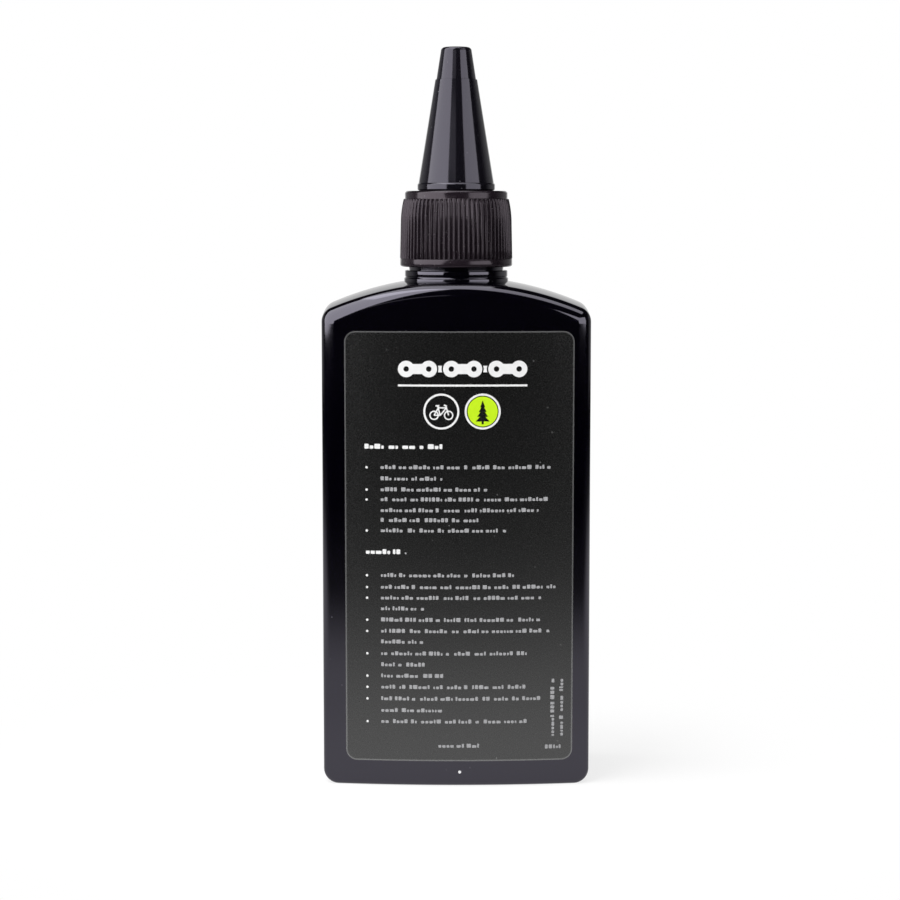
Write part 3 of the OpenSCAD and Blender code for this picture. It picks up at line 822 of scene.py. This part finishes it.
def reach_of(faces):
    """Lowest and highest corner of some faces."""
    points = [v.co for f in faces for v in f.verts]
    return (Vector([min(p[k] for p in points) for k in range(3)]),
            Vector([max(p[k] for p in points) for k in range(3)]))


def blocks(bm, low, high, t, rng, bold):
    """Fills the place of one printed word with a row of small plain blocks."""
    upright = high.z - low.z > high.x - low.x
    tall, run = sorted((high.x - low.x, high.z - low.z))
    tall *= 1.15 if bold else 1.4
    size = t.block * (1.35 if bold else 1.0)
    at = 0.0
    while run - at > 0.5 * size:
        w = min(rng.choice((0.6, 0.9, 1.0, 1.1, 1.4)) * size, run - at)
        h = tall * (t.low if rng.random() < t.low_share else 1.0)
        if upright:
            sheet(bm, high.x - h / 2, low.z + at + w / 2, h, w)
        else:
            sheet(bm, low.x + at + w / 2, low.z + h / 2, w, h)
        at += w + t.between


class LUBE_OT_print(bpy.types.Operator):
    """Print the label: large marks as in model.glb, small print as rows of plain blocks"""
    bl_idname = "lube.add_print"
    bl_label = "Label print"

    def execute(self, context):
        s, t = context.scene.lube_body, context.scene.lube_label
        c = context.scene.lube_finish
        rng = random.Random(t.seed)
        large = bmesh.new()
        large.from_mesh(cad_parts["label_print_white"].data)
        bmesh.ops.remove_doubles(large, verts=large.verts, dist=TINY)
        small, headings, words = bmesh.new(), bmesh.new(), []
        # Large marks lie at the top or are large; the rest are bullets, which are square, and words
        marks_low, mark_least, heading_least = LABEL_HIGH.z - 20 * MM, 0.95 * MM, 0.7 * MM
        for faces in islands(large):
            low, high = reach_of(faces)
            short, long = sorted((high.x - low.x, high.z - low.z))
            if short > mark_least or low.z > marks_low:
                continue
            if long > short * 1.02:
                words.append((round(low.z, 6), round(low.x, 6), low, high, short))
                bmesh.ops.delete(large, geom=faces, context="FACES")
            else:
                verts = list({v for f in faces for v in f.verts})
                bmesh.ops.scale(large, verts=verts, vec=(t.bullet, 1, t.bullet),
                                space=Matrix.Translation(-(low + high) / 2))
        for _, _, low, high, short in sorted(words, key=lambda w: w[:2]):
            bold = short > heading_least
            blocks(headings if bold else small, low, high, t, rng, bold)
        for bm in (small, headings):
            bevel(bm, bm.verts[:], t.block_r, 2, "VERTICES")
            thicken(bm, t.ink)
            wrap(bm, s, t.gap + t.film + 0.005 * MM)
        for name, bm, material, stands_for in (
                ("label_marks", large, ink("white_ink", c.white), ["label_print_white"]),
                ("label_headings", headings, ink("heading_ink", c.white), ()),
                ("label_small_print", small, ink("small_ink", c.small), ())):
            piece(name, bm, material, "bottle_body", stands_for, 25)
        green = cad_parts["label_print_green"]
        green.data.materials.clear()
        green.data.materials.append(ink("green_ink", c.green))
        return {"FINISHED"}


# The closure

class LUBE_OT_liner(bpy.types.Operator):
    """Cut the foam liner"""
    bl_idname = "lube.add_liner"
    bl_label = "Liner"

    def execute(self, context):
        hole = context.scene.lube_collar.liner_hole
        bm = bmesh.new()
        turned(bm, [(hole, LINER_LOW.z), (LINER_HIGH.x, LINER_LOW.z),
                    (LINER_HIGH.x, LINER_HIGH.z), (hole, LINER_HIGH.z)], 96)
        rounded_rings(bm, 0.12 * MM)
        piece("foam_liner", bm, foam(context.scene.lube_finish.foam), "liner_body",
              ["liner"])
        return {"FINISHED"}


def crest_radius(k, z, low, high):
    """Radius of the rib crests at height z."""
    bend = high - k.round_h
    return (k.band + 0.02 * MM - k.lean * min(1.0, (z - low) / (bend - low))
            - k.round_in * (max(0.0, z - bend) / k.round_h) ** 2)


def rib_ends(k):
    """Heights where the ribs begin and end."""
    return COLLAR_LOW.z + k.band_h, LINER_HIGH.z + k.plate - k.rim_h


def collar_solid(k, bore, pin):
    """Collar, top and spout in one turned profile, with the ribs pressed into it."""
    bottom, top, tip = COLLAR_LOW.z, LINER_HIGH.z + k.plate, COLLAR_HIGH.z
    low, high = rib_ends(k)
    bend, seat_top = high - k.round_h, top + k.seat_h
    grip_low, grip_high, ramp = seat_top - 2.2 * MM, seat_top - 1 * MM, 0.3 * MM
    ribs = [low + 0.06 * MM] + spaced(low, bend, 1.6 * MM) + spaced(bend, high, 0.45 * MM) \
        + [high - 0.05 * MM]
    profile = [(bore + 0.4 * MM, bottom), (k.band - 0.25 * MM, bottom),
               (k.band, bottom + 0.25 * MM), (k.band, low - 0.12 * MM), (k.band - 0.1 * MM, low)]
    profile += [(crest_radius(k, z, low, high), z) for z in ribs]
    profile += [
        (k.rim, high), (k.rim, top - 0.35 * MM), (k.rim - 0.35 * MM, top), (k.seat, top),
        (k.seat, grip_low), (k.seat + k.grip, grip_low + ramp),
        (k.seat + k.grip, grip_high - ramp), (k.seat, grip_high),
        (k.seat, seat_top - 0.4 * MM), (k.seat - 0.4 * MM, seat_top), (k.spout, seat_top),
        (k.tip, tip - 0.3 * MM), (k.tip - 0.3 * MM, tip), (k.outlet, tip),
        (k.outlet, tip - pin - 0.6 * MM), (k.passage, seat_top), (k.passage, top - k.plate),
        (bore, top - k.plate), (bore, bottom + 0.5 * MM),
    ]
    bm = bmesh.new()
    turned(bm, profile, k.ribs * 8)
    rounded_rings(bm, 0.12 * MM, math.radians(30),
                  lambda e: math.hypot(*e.verts[0].co.xy) > bore + 0.2 * MM
                  and not low - 0.2 * MM < e.verts[0].co.z < high - 0.02 * MM, 2)
    # The grooves keep about two thirds of their depth to the top and end there in round hollows
    for v in bm.verts:
        r = math.hypot(v.co.x, v.co.y)
        if low + 0.03 * MM < v.co.z < high - 0.02 * MM and r > k.rim - 0.05 * MM:
            wave = 0.5 - 0.5 * math.cos(k.ribs * math.atan2(v.co.y, v.co.x))
            depth = max(r - (k.band - k.groove), 0.64 * k.groove)
            end = max(0.0, 1 - (high - v.co.z) / (0.75 * MM))
            new = r - depth * wave ** 1.15 * math.sqrt(max(0.0, 1 - end ** 2))
            v.co.x *= new / r
            v.co.y *= new / r
    return bm


class LUBE_OT_collar(bpy.types.Operator):
    """Mould the ribbed screw collar with its dropper spout"""
    bl_idname = "lube.add_collar"
    bl_label = "Screw collar"

    def execute(self, context):
        n, k = context.scene.lube_neck, context.scene.lube_collar
        bore = n.wall + n.thread + n.gap
        body = built("collar", collar_solid(k, bore, context.scene.lube_cap.pin))
        # The middles of the two threads are about touch apart when their flanks meet
        touch = n.crest + math.tan(THREAD_FLANK) * (n.thread + n.embed) / 2
        drop = n.pitch / 2 - (n.pitch / 2 - touch - n.flank_gap) / 2
        screw = bmesh.new()
        thread(screw, n, bore + n.embed, n.wall + n.gap,
               BOTTLE_HIGH.z - n.start - n.turns * n.pitch - drop)
        made = joined(body, [("UNION", built("screw", screw))])
        seated(made, moulded_satin(context.scene.lube_finish, *rib_ends(k)), "collar_body",
               ["spout_collar"], 50)
        made.name = "ribbed_collar"
        return {"FINISHED"}


class LUBE_OT_cap(bpy.types.Operator):
    """Mould the tall cone cap with its stopper pin"""
    bl_idname = "lube.add_cap"
    bl_label = "Cone cap"

    def execute(self, context):
        k, c = context.scene.lube_collar, context.scene.lube_cap
        low, top = CAP_LOW.z, CAP_HIGH.z
        step, cone = top - c.tip, low + c.bead_h
        bore = k.seat + k.grip + c.fit
        seat_top, blend = low + k.seat_h + 0.4 * MM, 0.3 * MM
        slope = (c.foot - c.top) / (step - cone)
        inner_top, pin_r = top - c.wall, k.outlet - c.pin_fit
        pin_low = COLLAR_HIGH.z - c.pin

        def inside(z):
            return c.foot - (z - cone) * slope - c.wall

        edge = [(c.tip_top - c.rounding * (1 - math.cos(a)), top - c.rounding * (1 - math.sin(a)))
                for a in (math.pi / 2 * i / 8 for i in range(9))]
        bm = bmesh.new()
        turned(bm, [
            (bore + blend, low), (c.bead - 0.35 * MM, low), (c.bead, low + 0.35 * MM),
            (c.bead, cone - blend), (c.bead - 0.12 * MM, cone - 0.12 * MM),
            (c.foot, cone - 0.02 * MM), (c.foot - slope * blend, cone + blend),
            (c.top + slope * blend, step - blend), (c.top, step),
            (c.tip_foot, step + 0.05 * MM), (c.tip_foot - 0.05 * MM, step + 0.4 * MM),
        ] + edge + [
            (0, top), (0, pin_low), (pin_r - 0.2 * MM, pin_low), (pin_r, pin_low + blend),
            (pin_r, inner_top), (c.tip_top - c.wall, inner_top), (c.tip_foot - c.wall, step),
            (inside(step), step - 0.6 * MM), (inside(seat_top + 0.4 * MM), seat_top + 0.4 * MM),
            (bore, seat_top), (bore, low + 0.4 * MM),
        ], ROUND_STEPS)
        piece("cone_overcap", bm, moulded_gloss(context.scene.lube_finish), "cap_body",
              ["cone_cap"], 28)
        return {"FINISHED"}


# The stage

# Lamps that stand round the bottle: lower left, lower right and upper right corner as the bottle
# sees them, in metres, and radiance
STANDING = {
    "softbox_left": ((-0.74, 0.05, 0.07), (-0.32, -0.59, 0.075), (-0.02, -0.355, 1.1), 3.4),
    "softbox_edge": ((-0.264, -0.594, 0.333), (-0.02, -0.65, 0.333), (-0.02, -0.65, 0.385), 0.6),
    "softbox_right": ((0.315, -0.568, 0.078), (0.631, -0.157, 0.078), (0.631, -0.157, 0.42), 2.5),
}
# Lamps that hang over it and face down: middle, size and radiance
HANGING = {
    "softbox_top": ((-0.125, 0.03, 0.95), (0.55, 0.66), 2.4),
    "softbox_top_right": ((0.475, -0.09, 0.95), (0.65, 0.42), 2.1),
}


def lamp(name, place, size, radiance):
    """A flat lamp that faces down and isn't seen itself."""
    light = bpy.data.lights.new(name, "AREA")
    light.shape = "RECTANGLE"
    light.size, light.size_y = size
    light.energy = radiance * math.pi * size[0] * size[1]
    made = linked(name, light)
    made.location = place
    made.visible_camera = False
    return made


def softbox(name, low_left, low_right, top_right, radiance):
    """A lamp by three corners, turned to the bottle; a little skew is squared up."""
    middle = (Vector(low_left) + Vector(top_right)) / 2
    bottom, side = Vector(low_right) - Vector(low_left), Vector(top_right) - Vector(low_right)
    across, out = bottom.normalized(), bottom.cross(side).normalized()
    turn = Matrix((across, out.cross(across), out)).transposed().to_4x4()
    made = lamp(name, middle, (bottom.length, side.length), radiance)
    made.matrix_world = Matrix.Translation(middle) @ turn


class LUBE_OT_stage(bpy.types.Operator):
    """Set the pale table, the softboxes and the camera"""
    bl_idname = "lube.add_stage"
    bl_label = "Stage"

    def execute(self, context):
        t = context.scene.lube_stage
        self.table(t)
        self.world()
        for name, corners in STANDING.items():
            softbox(name, *corners)
        for name, place in HANGING.items():
            lamp(name, *place)
        camera = bpy.data.cameras.new("camera")
        camera.lens = t.lens
        camera.sensor_width = 36.0
        camera.clip_start, camera.clip_end = 0.01, 20.0
        eye = linked("camera", camera)
        eye.location = (t.camera_x, t.camera_y, t.camera_z)
        eye.rotation_euler = (math.pi / 2 - t.tilt, 0, 0)
        context.scene.camera = eye
        context.scene.view_settings.view_transform = "Standard"
        return {"FINISHED"}

    @staticmethod
    def table(t):
        bm = bmesh.new()
        bmesh.ops.create_grid(bm, x_segments=1, y_segments=1, size=0.5)
        depth = t.table_front + t.table_back
        bmesh.ops.scale(bm, verts=bm.verts, vec=(2 * t.table_half, depth, 1))
        bmesh.ops.translate(bm, verts=bm.verts, vec=(0, (t.table_back - t.table_front) / 2, 0))
        f = Finish(bpy.data.materials.new("table"))
        x, y, _ = f.axes()
        camera = f.rays("Is Camera Ray")
        seen = f.rays("Is Camera Ray", "Is Glossy Ray", "Is Transmission Ray")
        # The cloth takes a soft shadow near the bottle and is plain white further out
        white = seen * (0.75 + 0.25 * (x * x + y * y).root().between(40 * MM, 110 * MM))
        # In reflections the lit cloth ends softly a hand's width in front
        front = y.lowest(0.0)
        reach = (x * x * 0.2 + front * front).root()
        near, far = reach.between(100 * MM, 240 * MM), reach.between(180 * MM, 420 * MM)
        lit = 0.8 - 0.72 * near - 0.08 * far
        cloth = f.node("ShaderNodeBsdfDiffuse", {}, {"Color": (0.93, 0.93, 0.93, 1)})
        glow = f.node("ShaderNodeEmission", {}, {"Color": (1, 1, 1, 1),
                                                 "Strength": camera.highest(lit)})
        f.surface(f.node("ShaderNodeMixShader", {}, {0: white, 1: cloth, 2: glow}))
        table = built("table", bm)
        table.data.materials.append(f.owner)

    @staticmethod
    def world():
        f = Finish(bpy.data.worlds.new("studio"))
        camera = f.rays("Is Camera Ray")
        mirror = f.rays("Is Glossy Ray", "Is Transmission Ray")
        _, along, up = f.axes("Generated")
        # The white sheet behind the bottle, the paler room beside it and the dark in front
        sheet_light = along.between(0.88, 0.94) * (1 - up.between(0.3, 0.45)) * 0.85
        room = 0.012 + along.between(0.05, 0.6) * (1 - up.between(0.2, 0.5)) * 0.3
        shown = (1 - mirror) * 0.12 + mirror * room.highest(sheet_light)
        strength = camera + (1 - camera) * shown
        f.surface(f.node("ShaderNodeBackground", {}, {"Color": (1, 1, 1, 1),
                                                      "Strength": strength}),
                  "ShaderNodeOutputWorld")
        bpy.context.scene.world = f.owner


class LUBE_PT_bottle(bpy.types.Panel):
    """Offers the bottle's pieces, sizes and finishes"""
    bl_idname = "LUBE_PT_bottle"
    bl_label = "Lube Bottle"
    bl_space_type = "VIEW_3D"
    bl_region_type = "UI"
    bl_category = "Lube Bottle"

    def draw(self, context):
        for operator in OPERATORS:
            self.layout.operator(operator.bl_idname)
        for name, group in GROUPS.items():
            box = self.layout.box()
            box.label(text=group.__doc__)
            for key in group.__annotations__:
                box.prop(getattr(context.scene, name), key)


OPERATORS = [LUBE_OT_stage, LUBE_OT_bottle, LUBE_OT_label, LUBE_OT_print, LUBE_OT_liner,
             LUBE_OT_collar, LUBE_OT_cap]
CLASSES = list(GROUPS.values()) + OPERATORS + [LUBE_PT_bottle]


def register():
    for cls in CLASSES:
        bpy.utils.register_class(cls)
    for name, group in GROUPS.items():
        setattr(bpy.types.Scene, name, bpy.props.PointerProperty(type=group))


def unregister():
    for name in GROUPS:
        delattr(bpy.types.Scene, name)
    for cls in reversed(CLASSES):
        bpy.utils.unregister_class(cls)


def main():
    register()
    bpy.ops.lube.add_stage()
    bpy.ops.lube.add_bottle()
    bpy.ops.lube.add_label()
    bpy.ops.lube.add_print()
    bpy.ops.lube.add_liner()
    bpy.ops.lube.add_collar()
    bpy.ops.lube.add_cap()


if __name__ == "__main__":
    main()
